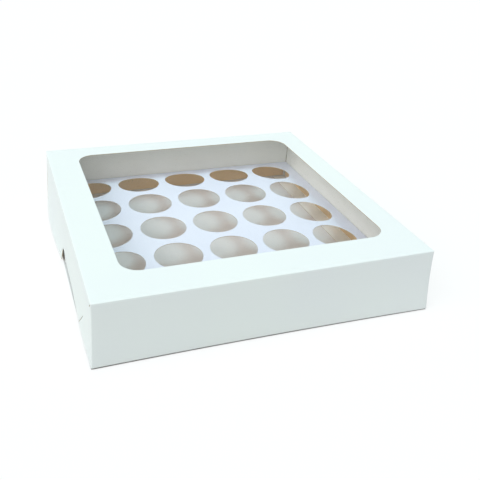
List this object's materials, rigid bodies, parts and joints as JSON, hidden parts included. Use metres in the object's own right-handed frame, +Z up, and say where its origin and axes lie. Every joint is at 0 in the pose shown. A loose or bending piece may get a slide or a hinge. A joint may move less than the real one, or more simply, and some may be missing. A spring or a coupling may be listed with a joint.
{
  "type": "sweets box",
  "caption": "Flat square card sweets box with a hinged lid, a clear film window and a bowed card insert whose round holes hold the sweets.",
  "frame": {"origin": "on the table under the middle of the closed box", "axes": "+Z up, -Y the front where the lid opens, +Y the back with the lid's crease, +X right seen from the front"},
  "size_m": [0.3136, 0.305, 0.06],
  "materials": {
    "tray_card": "uncoated white card, greyer inside",
    "lid_card": "coated white card, satin",
    "film": "clear glossy film",
    "insert_card": "smooth white card, matt"
  },
  "bodies": {
    "tray": {"tray": "tray_card", "insert_plate": "insert_card", "insert_left_leg": "insert_card", "insert_right_leg": "insert_card", "insert_front_leg": "insert_card", "insert_back_leg": "insert_card"},
    "lid": {"lid": "lid_card", "window_film": "film"}
  },
  "joints": [
    {"name": "lid_hinge", "type": "hinge", "parent": "tray", "child": "lid", "pos_m": [0, 0.15253, 0.06], "axis": [-1, 0, 0], "range_deg": [0, 180]}
  ]
}
